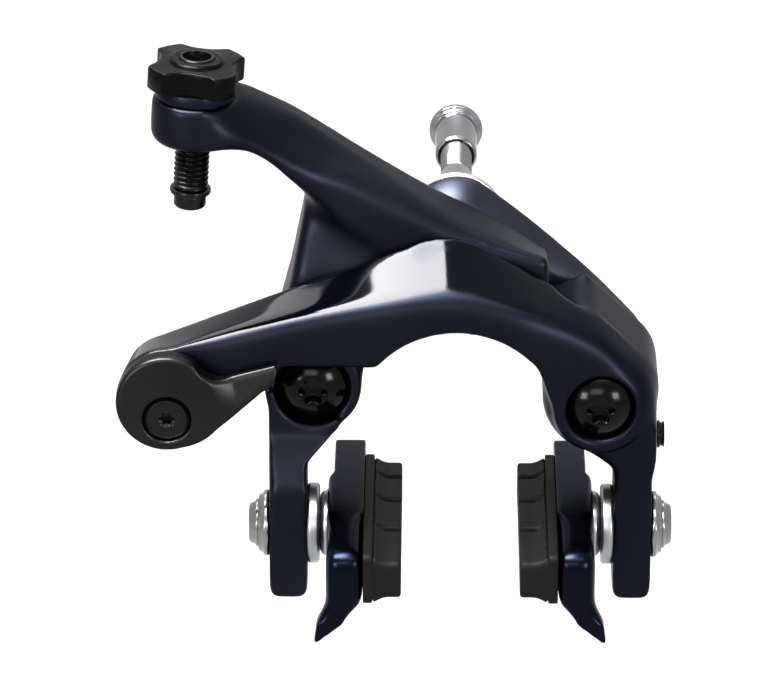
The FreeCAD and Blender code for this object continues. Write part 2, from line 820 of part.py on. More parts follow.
def release_lever():
    """Cam lever: a disc with its hub in the front arm's boss, and a tapering thumb piece."""
    y_back = front_face - loose
    y_front = y_back - lever_thick
    cx, cz = front_boss_x, front_boss_z
    shoulder = on_circle(cx, cz, lever_radius, 55)
    start = on_circle(cx, cz, lever_radius, -72)
    legs = [
        (on_circle(cx, cz, lever_radius, 170), shoulder),
        ((-44.9, -15.9), (-41.4, -16.2)),
        (lever_tip_x, lever_tip_z),
        ((-32.7, -15.6), (-35.2, -18.8)),
        (-43.6, -26.0),
        ((-46.4, -28.4), start),
    ]
    body = plate_y(start, legs, y_front, y_back)
    rim = edges_at(body, lambda p: abs(p.y - y_front) < 1e-6)
    body = body.makeFillet(0.8, rim)
    body = body.fuse(rod_y(cx, cz, hub_radius, y_back, front_back))
    body = body.cut(rod_y(cx, anchor_z, anchor_shank_radius + seat, y_front - 1, front_back + 1))
    return body.cut(rod_y(cx, anchor_z, anchor_recess_radius, y_front - 1, y_front + 1.2))


def anchor_bolt():
    """Bolt through the lever's hub, off its centre, that clamps the cable."""
    face = front_face - loose - lever_thick + 0.3
    seat_y = front_face - loose - lever_thick + 1.2
    end = front_back + clamp_thick + clamp_nut_thick + 1.2
    points = [
        (0, face), (anchor_head_radius - 0.4, face), (anchor_head_radius, face + 0.4),
        (anchor_head_radius, seat_y), (anchor_shank_radius, seat_y),
        (anchor_shank_radius, end), (0, end),
    ]
    body = turned(points, V(front_boss_x, 0, anchor_z), V(0, 1, 0))
    socket = star_socket(front_boss_x, anchor_z, face, 1.25, 2.0)
    return body.cut(socket)


def clamp_plate():
    """Plate behind the boss with the groove that grips the cable."""
    gap = loose / 3
    back = front_back + gap + clamp_thick
    body = ring_y(front_boss_x, anchor_z, clamp_radius, anchor_shank_radius + seat, front_back + gap, back)
    groove_x = front_boss_x + anchor_shank_radius + cable_radius
    return body.cut(Part.makeCylinder(cable_radius, 40, V(groove_x, front_back + gap, anchor_z - 20)))


def clamp_nut():
    """Hexagon nut that draws the clamp plate up."""
    low = front_back + loose / 3 + clamp_thick
    corners = [on_circle(front_boss_x, anchor_z, clamp_nut_across / math.sqrt(3), 60 * side) for side in range(6)]
    body = plate_y(corners[0], corners[1:] + [corners[0]], low, low + clamp_nut_thick)
    return body.cut(rod_y(front_boss_x, anchor_z, anchor_shank_radius + seat, low - 1, low + clamp_nut_thick + 1))


def centering_screw():
    """Small screw in the front arm's side that centres the brake."""
    side = right_x + right_boss_radius + 0.4
    points_x = side + centering_head
    body = rod_x(centering_y, centering_z, centering_radius, side - 5.5, side)
    head = rod_x(centering_y, centering_z, centering_head_radius, side, points_x)
    head = head.makeChamfer(0.35, edges_at(head, lambda p: abs(p.x - points_x) < 1e-6))
    return body.fuse(head).cut(rod_x(centering_y, centering_z, 1.0, points_x - 0.9, points_x + 1))


def place_shoe_piece(shape, side):
    """Put a piece of the left shoe stack where it belongs, mirrored for the right one."""
    if side < 0:
        shape.translate(V(left_inner_x, shoe_y, slot_z))
        return shape
    mirrored = shape.mirror(V(0, 0, 0), V(1, 0, 0))
    mirrored.translate(V(right_inner_x, shoe_y, slot_z))
    return mirrored


def drop(y):
    """How far the rim has fallen away at a distance along it."""
    return rim_radius - math.sqrt(rim_radius ** 2 - y ** 2)


def bar_profile(front, rear, height, up, corner):
    """Side outline of a bar that follows the rim, round at both ends."""
    top, low = up + height / 2, up - height / 2
    near = corner * 0.3
    start = (-front, low - drop(front) + corner)
    return start, [
        (-front, top - drop(front) - corner),
        ((-front + near, top - drop(front) - near), (-front + corner, top - drop(front - corner))),
        ((0, top), (rear - corner, top - drop(rear - corner))),
        ((rear - near, top - drop(rear) - near), (rear, top - drop(rear) - corner)),
        (rear, low - drop(rear) + corner),
        ((rear - near, low - drop(rear) + near), (rear - corner, low - drop(rear - corner))),
        ((0, low), (-front + corner, low - drop(front - corner))),
        ((-front + near, low - drop(front) + near), start),
    ]


def guide_fin(outer, face):
    """Horn at the holder's front foot that steers the wheel in between the pads."""
    front = -holder_front + 0.4
    z_root = holder_up - holder_height / 2 - drop(holder_front) + 1.2
    z_tip = z_root - 1.2 - fin_length
    tip_x = outer - fin_out
    sections = (
        (outer + 0.3, face - 0.3, front, front + fin_root, z_root),
        (outer - 1.7, face - 4.0, front + 0.2, front + 0.6 * fin_root, z_tip + 0.55 * fin_length),
        (tip_x - 0.35, tip_x + 0.35, front + 0.9, front + 1.7, z_tip),
    )
    wires = []
    for low, high, fore, aft, z in sections:
        corners = [V(low, fore, z), V(high, fore, z), V(high, aft, z), V(low, aft, z)]
        wires.append(Part.makePolygon(corners + [corners[0]]))
    return Part.makeLoft(wires, True, True)


def shoe_holder():
    """Cartridge holder, thicker from the bolt to its front end, with the wheel guide."""
    back = inner_washer_thick + ball_washer_thick + holder_hump
    outer = back - holder_hump
    face = back + holder_thick
    start, legs = bar_profile(holder_front, holder_rear, holder_height, holder_up, 2.0)
    body = plate_x(start, legs, outer, face)
    outer_rim = edges_at(body, lambda p: abs(p.x - outer) < 1e-6)
    body = body.makeFillet(1.2, outer_rim)
    step = Part.makePolygon([
        V(outer - 1, holder_rear + 1, -20), V(back, holder_rear + 1, -20), V(back, hump_rear + 2.0, -20),
        V(outer - 1, hump_rear - 1.5, -20), V(outer - 1, holder_rear + 1, -20),
    ])
    body = body.cut(Part.Face(step).extrude(V(0, 0, 40)))
    body = body.fuse(guide_fin(outer, face))
    body = body.cut(rod_x(0, 0, bolt_radius + seat, 0, face - 1.2))
    body = body.cut(rod_x(pad_screw_behind, 0, pad_screw_radius * 0.6 + seat, 0, face - 1.0))
    return body.removeSplitter()


def brake_pad():
    """Rubber pad on its wider base strip in the holder, slotted on its face."""
    back = inner_washer_thick + ball_washer_thick + holder_hump + holder_thick
    face = back + pad_thick
    step = back + pad_base_thick
    start, legs = bar_profile(pad_front, pad_rear, pad_base_height, pad_up + 0.3, 1.0)
    body = plate_x(start, legs, back, step)
    start, legs = bar_profile(pad_front - 0.4, pad_rear - 0.4, pad_height, pad_up, 1.0)
    block_of_rubber = plate_x(start, legs, step, face)
    rim = edges_at(block_of_rubber, lambda p: abs(p.x - face) < 1e-6)
    body = body.fuse(block_of_rubber.makeFillet(0.5, rim))
    for place in groove_places:
        groove = block((face - groove_depth, face + 1), (place - groove_width / 2, place + groove_width / 2), (-20, 20))
        body = body.cut(groove)
    return body


def shoe_bolt():
    """Bolt from the outer side of the leg into the holder."""
    head_in = -leg_width - outer_washer_thick
    head_out = head_in - bolt_head_thick
    end = inner_washer_thick + ball_washer_thick + holder_hump + holder_thick - 1.6
    body = rod_x(0, 0, bolt_radius, head_in, end)
    head = rod_x(0, 0, bolt_head_radius, head_out, head_in)
    head = head.makeFillet(0.7, edges_at(head, lambda p: abs(p.x - head_out) < 1e-6))
    corners = [on_circle(0, 0, 2.3, 60 * side) for side in range(6)]
    socket = plate_x(corners[0], corners[1:] + [corners[0]], head_out - 1, head_out + 1.2)
    return body.fuse(head).cut(socket)


def outer_washer():
    """Washer under the shoe bolt's head, with a smaller step outside."""
    first = ring_x(0, 0, outer_washer_radius, bolt_radius + fit, -leg_width - outer_washer_thick * 0.55, -leg_width)
    step = ring_x(0, 0, outer_washer_radius - 0.9, bolt_radius + fit, -leg_width - outer_washer_thick,
                  -leg_width - outer_washer_thick * 0.55)
    return first.fuse(step).removeSplitter()


def inner_washer():
    """Thick dished washer against the leg's inner face."""
    return ring_x(0, 0, inner_washer_radius, bolt_radius + fit, 0, inner_washer_thick)


def ball_washer():
    """Convex washer that lets the shoe toe in."""
    low = inner_washer_thick
    points = [
        (bolt_radius + fit, low), (ball_washer_radius - 1.4, low), (ball_washer_radius, low + ball_washer_thick * 0.7),
        (ball_washer_radius, low + ball_washer_thick), (bolt_radius + fit, low + ball_washer_thick),
    ]
    return turned(points, V(0, 0, 0), V(1, 0, 0))


def pad_screw():
    """Small screw that keeps the pad in its holder."""
    back = inner_washer_thick + ball_washer_thick + holder_hump
    head = rod_x(pad_screw_behind, 0, pad_screw_radius, back - pad_screw_out, back)
    shank = rod_x(pad_screw_behind, 0, pad_screw_radius * 0.6, back, back + holder_thick - 1.2)
    return head.fuse(shank)


def make_parts():
    """Every separate piece under its own name."""
    left_face = rear_head_face
    right_head = right_face + head_recess
    parts = {
        "bridge_bracket": bridge_bracket(),
        "mounting_stud": mounting_stud(),
        "seat_washer": seat_washer(),
        "mounting_nut": mounting_nut(),
        "left_pivot_screw": pivot_screw(left_x, left_face),
        "right_pivot_screw": pivot_screw(right_x, right_head),
        "left_pivot_bush": pivot_bush(left_x, left_face),
        "right_pivot_bush": pivot_bush(right_x, right_head),
        "left_thrust_washer": thrust_washer(left_x),
        "right_thrust_washer": thrust_washer(right_x),
        "front_arm": front_arm(),
        "rear_arm": rear_arm(),
        "link_roller": link_roller(),
        "link_roller_pin": roller_pin(),
        "return_spring": return_spring(),
        "adjuster_barrel": adjuster_barrel(),
        "adjuster_ring": adjuster_ring(),
        "adjuster_collar": adjuster_collar(),
        "adjuster_knob": adjuster_knob(),
        "release_lever": release_lever(),
        "anchor_bolt": anchor_bolt(),
        "clamp_plate": clamp_plate(),
        "clamp_nut": clamp_nut(),
        "centering_screw": centering_screw(),
    }
    makers = {
        "shoe_holder": shoe_holder,
        "brake_pad": brake_pad,
        "shoe_bolt": shoe_bolt,
        "outer_washer": outer_washer,
        "inner_washer": inner_washer,
        "ball_washer": ball_washer,
        "pad_screw": pad_screw,
    }
    for name, maker in makers.items():
        parts["left_" + name] = place_shoe_piece(maker(), -1)
        parts["right_" + name] = place_shoe_piece(maker(), 1)
    return parts


os.makedirs("parts", exist_ok=True)
for node, shape in make_parts().items():
    shape.exportStep(f"parts/{node}.step")
    print(f"{node:22s} solids {len(shape.Solids)}  valid {shape.isValid()}  volume {shape.Volume:9.2f}")
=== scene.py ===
"""Dual-pivot rim brake caliper, dressed on its CAD frame. Metres, +Z up, -Y towards the viewer."""

import math

import bpy
import numpy as np
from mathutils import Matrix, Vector


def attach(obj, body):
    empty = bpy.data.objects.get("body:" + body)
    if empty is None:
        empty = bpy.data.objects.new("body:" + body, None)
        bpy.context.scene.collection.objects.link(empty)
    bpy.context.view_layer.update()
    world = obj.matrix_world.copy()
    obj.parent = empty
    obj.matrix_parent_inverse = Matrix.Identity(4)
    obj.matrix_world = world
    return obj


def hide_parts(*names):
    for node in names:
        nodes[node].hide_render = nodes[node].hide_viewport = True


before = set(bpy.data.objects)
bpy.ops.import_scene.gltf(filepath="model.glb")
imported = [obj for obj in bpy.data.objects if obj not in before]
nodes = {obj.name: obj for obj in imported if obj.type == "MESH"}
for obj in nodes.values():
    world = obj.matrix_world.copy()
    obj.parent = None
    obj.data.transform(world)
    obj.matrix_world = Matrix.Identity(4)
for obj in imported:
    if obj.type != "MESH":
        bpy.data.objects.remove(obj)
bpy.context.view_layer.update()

# Camera
# A long lens about a metre away looks 24 degrees down on the brake, square to its front.
look_down, look_aside = 24.3, 0.5
lens = bpy.data.cameras.new("camera")
lens.lens = 246.3
lens.sensor_width = 36.0
lens.clip_end = 20.0
camera = bpy.data.objects.new("camera", lens)
bpy.context.collection.objects.link(camera)
camera.location = (-0.0042, -0.92137, 0.38935)
camera.rotation_euler = (math.radians(90 - look_down), 0, math.radians(look_aside))
bpy.context.scene.camera = camera
bpy.context.scene.view_settings.view_transform = "Standard"


# Studio
# A white room with a white sheet under the brake, so that a colour shows as it is written. A wide
# soft box hangs overhead on the left, whose right edge ends in the gloss of the front arm; the
# others draw the light edges and the tops.


def colour(text):
    """An sRGB hex colour as the linear one that a shader takes."""
    parts = [int(text[i:i + 2], 16) / 255 for i in (1, 3, 5)]
    linear = [v / 12.92 if v <= 0.04045 else ((v + 0.055) / 1.055) ** 2.4 for v in parts]
    return (*linear, 1.0)


def add(tree, kind, inputs=(), **settings):
    """Adds a shader node with its settings, and its inputs as values or as sockets to link."""
    made = tree.nodes.new(kind)
    for name, value in settings.items():
        setattr(made, name, value)
    for name, value in dict(inputs).items():
        if isinstance(value, bpy.types.NodeSocket):
            tree.links.new(value, made.inputs[name])
        else:
            made.inputs[name].default_value = value
    return made


def new_material(name):
    """An empty material with its tree, and the Principled shader in it."""
    made = bpy.data.materials.new(name)
    made.use_nodes = True
    return made, made.node_tree, made.node_tree.nodes["Principled BSDF"]


def soft_box(name, place, aim, width, height, watts, gloss_only=False):
    """A rectangular soft box turned towards a point; one for gloss only leaves dull faces as they are."""
    light = bpy.data.lights.new(name, "AREA")
    light.shape = "RECTANGLE"
    light.size = width
    light.size_y = height
    light.energy = watts
    box = bpy.data.objects.new(name, light)
    bpy.context.collection.objects.link(box)
    box.location = place
    box.rotation_euler = (Vector(aim) - Vector(place)).to_track_quat("-Z", "Y").to_euler()
    box.visible_diffuse = not gloss_only


brake_middle = (0, 0, 0)
soft_box("top_box", (-0.36, -0.14, 0.9), aim=(-0.36, -0.14, 0), width=0.68, height=0.6, watts=115,
         gloss_only=True)
soft_box("back_box", (0, 0.85, 0.95), aim=brake_middle, width=1.2, height=0.45, watts=10)
soft_box("front_high_box", (-0.15, -1.2, 0.45), aim=brake_middle, width=0.6, height=0.3, watts=4.5)
soft_box("front_top_box", (0.05, -0.52, 0.85), aim=brake_middle, width=0.7, height=0.36, watts=5)
for side_x in (-0.6, 0.6):
    soft_box("front_side_box", (side_x, -0.85, 0.15), aim=(0, 0, -0.02), width=0.25, height=0.25, watts=7,
             gloss_only=True)

world = bpy.data.worlds.new("white_room")
world.use_nodes = True
bpy.context.scene.world = world
world.node_tree.nodes["Background"].inputs["Color"].default_value = colour("#ffffff")
world.node_tree.nodes["Background"].inputs["Strength"].default_value = 1.0

# Uncoated paper: matt white, and dull enough to hold the brake's soft shadow.
paper, tree, shader = new_material("white_paper_sweep")
shader.inputs["Base Color"].default_value = colour("#e2e2e2")
shader.inputs["Roughness"].default_value = 0.9
reach, level = 3.0, -0.30
corners = [(-reach, -reach, level), (reach, -reach, level), (reach, reach, level), (-reach, reach, level)]
floor_mesh = bpy.data.meshes.new("floor")
floor_mesh.from_pydata(corners, [], [(0, 1, 2, 3)])
floor = bpy.data.objects.new("floor", floor_mesh)
floor.data.materials.append(paper)
bpy.context.collection.objects.link(floor)


# Bridge bracket
# Forged aluminium plate behind both arms, bead blasted and anodised a dark blue grey. Forging and
# tumbling leave every edge softly rounded. Its sizes, like all that follow, are in millimetres.
MM = 0.001
pivot_x, pivot_z = 26.45, -24.5
bracket_back, bracket_thick = -1.2, 6.8
boss_radius, outline_bow, front_drop = 9.0, 3.6, 3.4
metal_at_a_slant = colour("#d3d3d6")


def anodised(name, lit, deep, roughness):
    """Bead-blasted anodised aluminium: a faint grain, and a dye that is a little cloudy."""
    made, tree, shader = new_material(name)
    place = add(tree, "ShaderNodeTexCoord")
    blast_mm = 0.22     # twice as coarse as real blasting, so that it shows
    grain = add(tree, "ShaderNodeTexNoise", {
        "Vector": place.outputs["Object"], "Scale": 1 / (blast_mm * MM), "Detail": 2.0, "Roughness": 0.6,
    })
    cloud_mm = 14.0
    cloud = add(tree, "ShaderNodeTexNoise", {
        "Vector": place.outputs["Object"], "Scale": 1 / (cloud_mm * MM), "Detail": 1.0,
    })
    tone = add(tree, "ShaderNodeMixRGB", {
        "Fac": cloud.outputs["Fac"], "Color1": colour(deep), "Color2": colour(lit),
    })
    tree.links.new(tone.outputs[0], shader.inputs["Base Color"])
    gloss = add(tree, "ShaderNodeMapRange", {
        "Value": grain.outputs["Fac"], "From Min": 0.3, "From Max": 0.7,
        "To Min": roughness - 0.04, "To Max": roughness + 0.04,
    })
    tree.links.new(gloss.outputs[0], shader.inputs["Roughness"])
    bump = add(tree, "ShaderNodeBump", {
        "Height": grain.outputs["Fac"], "Strength": 0.1, "Distance": 0.02 * MM,
    })
    tree.links.new(bump.outputs[0], shader.inputs["Normal"])
    shader.inputs["Metallic"].default_value = 1.0
    shader.inputs["Specular Tint"].default_value = metal_at_a_slant
    return made


def place_piece(piece, material, body, node):
    """Gives a new piece its material and body, and the CAD node that it stands for."""
    bpy.context.collection.objects.link(piece)
    piece.data.materials.clear()
    piece.data.materials.append(material)
    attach(piece, body)
    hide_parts(node)


def relax(points, ends, rounds, share=1.0):
    """Draws each point towards the middle of its neighbours, round by round."""
    first, second = ends.T
    count = len(points)
    degree = (np.bincount(first, minlength=count) + np.bincount(second, minlength=count))[:, None]
    for _ in range(rounds):
        middle = np.stack([
            np.bincount(first, points[second, k], count) + np.bincount(second, points[first, k], count)
            for k in range(3)], axis=1) / degree
        points = points + (middle - points) * 0.5 * share
    return points


def ramped(value, low, high):
    """Rises from 0 at low to 1 at high."""
    return np.clip((value - low) / (high - low), 0, 1)


def forged(node, material, body, voxel, rounds, press=None, soft=None, soft_rounds=0, held=None):
    """A CAD node's form with its edges rounded.

    press moves points; soft gives the share of more rounding that each point has, and held
    the share of the first rounding that it goes without.
    """
    blank = bpy.data.objects.new(node + "_blank", nodes[node].data.copy())
    bpy.context.collection.objects.link(blank)
    skin = blank.modifiers.new("skin", "REMESH")
    skin.mode = "VOXEL"
    skin.voxel_size = voxel * MM
    mesh = bpy.data.meshes.new_from_object(blank.evaluated_get(bpy.context.evaluated_depsgraph_get()))
    bpy.data.objects.remove(blank)
    points = np.empty(len(mesh.vertices) * 3)
    mesh.vertices.foreach_get("co", points)
    points = points.reshape(-1, 3) / MM
    ends = np.empty(len(mesh.edges) * 2, dtype=int)
    mesh.edges.foreach_get("vertices", ends)
    ends = ends.reshape(-1, 2)
    if press:
        points = np.stack(press(*points.T), axis=1)
    points = relax(points, ends, rounds, 1 - held(*points.T)[:, None] if held else 1.0)
    if soft:
        points = relax(points, ends, soft_rounds, soft(*points.T)[:, None])
    mesh.vertices.foreach_set("co", (points * MM).ravel())
    mesh.shade_smooth()
    place_piece(bpy.data.objects.new(node + "_forged", mesh), material, body, node)


def shed_front(x, y, z):
    """Lets the upper outline fall away towards the front, over the stud and the right flank."""
    span = math.hypot(pivot_x, pivot_z)
    along = np.clip((x * pivot_x + z * pivot_z) / span ** 2, 0, 1)
    across = (z * pivot_x - x * pivot_z) / span
    bowed = boss_radius + outline_bow * along * (1 - along)
    inside = np.where(along > 0, bowed - across, boss_radius - np.hypot(x, z))
    depth = np.clip((bracket_back - y) / bracket_thick, 0, 1)
    fall = front_drop * depth ** 1.7 * (1 - ramped(inside, 0, 7))
    fall *= (1 - ramped(along, 0.45, 0.75)) * ramped(z, -16, -8)
    return x + fall * pivot_z / span * ramped(x, 0, 6), y, z - fall * 0.8


def front_rim(x, y, z):
    """The bracket's front edge."""
    return ramped(-y, 3.5, 6.0) * ramped(z, -10, -4)


# Painted light: the bracket's anodising is a lighter copy of the arms', for the light that falls on its
# tops.
bracket_anodising_painted_light = anodised("anodised_aluminium_bracket_painted_light", "#2c2f37", "#23262d", 0.42)
forged("bridge_bracket", bracket_anodising_painted_light, "bridge", voxel=0.35, rounds=28,
       press=shed_front, soft=front_rim, soft_rounds=80)


# Mounting stud, washer and nut
# Plated steel. The M6 thread is rolled, the sleeve nut is turned and polished, and the washer is
# serrated to bite into the fork. All three are lathe profiles of (along, radius) from the fork's face.


def bright_metal(name, tint, dull, roughness, mark_mm, lathe=True):
    """Bright metal: a lathe leaves rings round its axis, grinding or sintering an even mottle."""
    made, tree, shader = new_material(name)
    if lathe:
        place = add(tree, "ShaderNodeAttribute", attribute_name="along_and_radius").outputs["Vector"]
    else:
        place = add(tree, "ShaderNodeTexCoord").outputs["Object"]
    marks = add(tree, "ShaderNodeTexNoise", {
        "Vector": place, "Scale": 1 / (mark_mm * MM), "Detail": 2.0, "Roughness": 0.6,
    })
    gloss = add(tree, "ShaderNodeMapRange", {
        "Value": marks.outputs["Fac"], "From Min": 0.3, "From Max": 0.7,
        "To Min": roughness * 0.8, "To Max": roughness * 1.25,
    })
    tree.links.new(gloss.outputs[0], shader.inputs["Roughness"])
    tone = add(tree, "ShaderNodeMixRGB", {
        "Fac": marks.outputs["Fac"], "Color1": colour(tint), "Color2": colour(dull),
    })
    tree.links.new(tone.outputs[0], shader.inputs["Base Color"])
    bump = add(tree, "ShaderNodeBump", {
        "Height": marks.outputs["Fac"], "Strength": 0.12, "Distance": 0.02 * MM,
    })
    tree.links.new(bump.outputs[0], shader.inputs["Normal"])
    shader.inputs["Metallic"].default_value = 1.0
    return made


def eased(points, size):
    """A lathe profile of (along, radius) with each corner broken by a small round."""
    made = [points[0]]
    for before, here, after in zip(points, points[1:], points[2:]):
        back = min(size, math.dist(before, here) / 2.2)
        on = min(size, math.dist(here, after) / 2.2)
        first = [h + (b - h) * back / math.dist(before, here) for h, b in zip(here, before)]
        last = [h + (a - h) * on / math.dist(here, after) for h, a in zip(here, after)]
        middle = [(f + 2 * h + e) / 4 for f, h, e in zip(first, here, last)]
        made += [tuple(first), tuple(middle), tuple(last)]
    return made + [points[-1]]


def turned(name, rings, origin, axis, sides=64):
    """A mesh turned about an axis. A ring is (along, radius) or (along, radius, form of the angle)."""
    axis = Vector(axis).normalized()
    across = Vector((1, 0, 0)) if abs(axis.x) < 0.9 else Vector((0, 1, 0))
    across = (across - axis * across.dot(axis)).normalized()
    upward = axis.cross(across)
    points, faces, starts, marks = [], [], [], []
    for along, radius, *form in rings:
        starts.append(len(points))
        for side in range(sides if radius else 1):
            angle = math.tau * side / sides
            r = form[0](angle, radius, along) if form else radius
            spoke = across * math.cos(angle) + upward * math.sin(angle)
            points.append((Vector(origin) + axis * along + spoke * r) * MM)
            marks += [along * MM, r * MM, 0.0]
    for at, (ring, following) in enumerate(zip(rings, rings[1:])):
        low, high = starts[at], starts[at + 1]
        for side in range(sides):
            then = (side + 1) % sides
            corners = [low + side if ring[1] else low, low + then if ring[1] else low,
                       high + then if following[1] else high, high + side if following[1] else high]
            faces.append(list(dict.fromkeys(corners)))
    if rings[0][1] and rings[-1][1]:
        low, high = starts[-1], starts[0]
        faces += [[low + s, low + (s + 1) % sides, high + (s + 1) % sides, high + s] for s in range(sides)]
    mesh = bpy.data.meshes.new(name)
    mesh.from_pydata(points, [], [face for face in faces if len(face) > 2])
    mesh.attributes.new("along_and_radius", "FLOAT_VECTOR", "POINT").data.foreach_set("vector", marks)
    mesh.shade_smooth()
    mesh.set_sharp_from_angle(angle=math.radians(38))
    return bpy.data.objects.new(name, mesh)


def thread(start, end, root, crest, pitch):
    """Rings of a rolled thread between two places along the axis, fading out at both ends."""
    def ridge(angle, radius, along):
        phase = (along / pitch - angle / math.tau) % 1.0
        tooth = min(1.0, max(0.0, (abs(2 * phase - 1) - 0.12) / 0.76))
        fade = min(1.0, (along - start) / pitch, (end - along) / pitch)
        return crest - (crest - root) * (1 - tooth) * max(0.0, fade)

    count = round((end - start) / pitch * 8)
    return [(start + (end - start) * step / count, crest, ridge) for step in range(count + 1)]


def hexagon(angle, radius, along):
    """A hexagon whose radius is that of the circle inside it."""
    return radius / math.cos((angle + math.pi / 6) % (math.pi / 3) - math.pi / 6)


def six_lobes(angle, radius, along):
    """The wavy outline of a star socket."""
    return radius * (0.87 + 0.13 * math.cos(6 * angle))


def serrated(angle, radius, along):
    """Teeth all round the washer's rim."""
    return radius - 0.12 * abs(math.sin(18 * angle))


stud_place, backwards = (0, 0, 0), (0, 1, 0)
stud_radius, stud_neck, stud_head = 3.0, 3.25, 4.25
head_front, head_back, thread_from, stud_end = -8.5, -8.0, 18.2, 39.0
stud_root, stud_crest, stud_pitch = 2.45, 2.97, 1.0
# Bright zinc over lathe work: fine rings, each a thin line of light, drawn coarser than real ones.
plating = bright_metal("steel_bright_zinc_plated_turned", "#8b8b8a", "#676766", 0.22, 0.25)
stud = turned("mounting_stud_rolled", [
    (head_front, 0),
    *eased([(head_front, 0.1), (head_front, stud_head), (head_back, stud_head), (head_back, stud_neck),
            (0, stud_neck), (0.2, stud_radius), (thread_from - 0.2, stud_radius)], 0.15),
    *thread(thread_from, stud_end - 1.0, stud_root, stud_crest, stud_pitch),
    (stud_end, 2.1), (stud_end, 0),
], stud_place, backwards, 48)
place_piece(stud, plating, "bridge", "mounting_stud")

nut_front, nut_back, sleeve_radius, flange_radius = 29.1, 43.3, 4.0, 5.15
key_radius, key_depth = 2.5, 3.8
# Polished nickel: cooler and more mirror-like than the zinc.
nickel = bright_metal("steel_nickel_plated_polished", "#8b8c8e", "#6f7072", 0.16, 0.25)
sleeve = turned("mounting_nut_turned", [
    *eased([(nut_front + 1.2, stud_radius + 0.04), (nut_front + 0.5, stud_radius + 0.06), (nut_front, 3.45),
            (nut_front, sleeve_radius - 0.38), (nut_front + 0.45, sleeve_radius),
            (nut_back - 2.1, sleeve_radius), (nut_back - 1.9, 4.45), (nut_back - 1.6, 4.6),
            (nut_back - 1.35, flange_radius), (nut_back - 0.2, flange_radius), (nut_back, 4.8),
            (nut_back, 3.1)], 0.16),
    (nut_back - 0.15, key_radius + 0.05, hexagon), (nut_back - key_depth, key_radius, hexagon),
    (nut_back - key_depth, 2.2), (nut_back - key_depth - 0.2, 2.2),
], stud_place, backwards, 72)
place_piece(sleeve, nickel, "mounting_nut", "mounting_nut")

washer_front, washer_back, washer_bore, rim_radius = -1.18, -0.02, 3.3, 8.8
# Zinc after tumbling: paler and duller, with its rings blurred.
tumbled = bright_metal("steel_zinc_plated_tumbled", "#bdbcba", "#9f9e9c", 0.3, 0.6)
washer = turned("seat_washer_serrated", [
    (washer_front, washer_bore), (washer_front, rim_radius - 0.5), (-1.0, rim_radius - 0.2),
    (-0.7, rim_radius), (-0.45, rim_radius, serrated), (washer_back, rim_radius - 0.05, serrated),
    (washer_back, rim_radius - 0.6, serrated), (washer_back, washer_bore),
], stud_place, backwards, 216)
place_piece(washer, tumbled, "bridge", "seat_washer")


# Pivots
# Each arm turns on the plain shank of a domed screw, in a bronze bush, against a thin steel washer.
# The heads are black zinc with a gloss topcoat, so they mirror the soft boxes.


def coated(name, tone, roughness, metallic=0.0, specular=0.25):
    """Smooth dark topcoat over metal: even and deep, with a faint orange peel."""
    made, tree, shader = new_material(name)
    place = add(tree, "ShaderNodeTexCoord")
    peel_mm = 0.9
    peel = add(tree, "ShaderNodeTexNoise", {
        "Vector": place.outputs["Object"], "Scale": 1 / (peel_mm * MM), "Detail": 1.0,
    })
    gloss = add(tree, "ShaderNodeMapRange", {
        "Value": peel.outputs["Fac"], "To Min": roughness * 0.8, "To Max": roughness * 1.25,
    })
    tree.links.new(gloss.outputs[0], shader.inputs["Roughness"])
    bump = add(tree, "ShaderNodeBump", {
        "Height": peel.outputs["Fac"], "Strength": 0.05, "Distance": 0.05 * MM,
    })
    tree.links.new(bump.outputs[0], shader.inputs["Normal"])
    shader.inputs["Base Color"].default_value = colour(tone)
    shader.inputs["Metallic"].default_value = metallic
    shader.inputs["Specular IOR Level"].default_value = specular
    shader.inputs["Specular Tint"].default_value = metal_at_a_slant
    return made


def finish(material, *names):
    """Gives CAD nodes their material."""
    for name in names:
        slots = nodes[name].data.materials
        slots.clear()
        slots.append(material)


head_radius, shank_radius, screw_radius = 5.95, 4.0, 3.0
screw_tip, screw_end, left_face, right_face = -0.9, -8.0, -25.2, -33.2
star_radius, star_depth, dome_height = 2.55, 2.7, 2.0
black_zinc = coated("steel_black_zinc_gloss", "#030304", 0.15, 0.0, 0.14)
for side, x, face in (("left", -pivot_x, left_face), ("right", pivot_x, right_face)):
    apex, under_head = face - 1.1, face + 2.2
    dome = [(apex + dome_height * (r / head_radius) ** 2.6, r)
            for r in (head_radius, 5.8, 5.6, 5.3, 4.9, 4.4, 3.8, 3.2, 2.9)]
    screw = turned(side + "_pivot_screw_domed", [
        (screw_tip, 0),
        *eased([(screw_tip, 0.1), (screw_tip, screw_radius - 0.4), (screw_tip - 0.4, screw_radius),
                (screw_end, screw_radius), (screw_end, shank_radius), (under_head, shank_radius),
                (under_head, head_radius), (apex + 2.2, head_radius)], 0.12),
        *dome,
        (apex + 0.3, star_radius * 1.05), (apex + 0.55, star_radius, six_lobes),
        (apex + star_depth, star_radius * 0.92, six_lobes),
        (apex + star_depth + 0.2, 1.2), (apex + star_depth + 0.4, 0),
    ], (x, 0, pivot_z), backwards, 72)
    place_piece(screw, black_zinc, "bridge", side + "_pivot_screw")
# Sintered bronze is porous and warm; the ground washers are a plain even grey.
finish(bright_metal("bronze_sintered", "#b08043", "#8f6531", 0.38, 0.3, lathe=False),
       "left_pivot_bush", "right_pivot_bush")
ground_steel = bright_metal("steel_ground", "#a3a2a0", "#8b8a88", 0.3, 0.4, lathe=False)
finish(ground_steel, "left_thrust_washer", "right_thrust_washer")


# Rear arm
# Y-shaped forging with the adjuster's boss, the left shoe leg and the roller's fork, finished as the
# bracket is. Its web leans back under the spar, and its leg narrows just under the pivot.
hip_outer, hip_narrowing = -35.5, 0.85
web_slope, web_middle = 0.36, 2.2
shoe_y, shoe_z = -24.6, -52.0
slot_half_length, slot_flat_radius = 5.0, 8.6


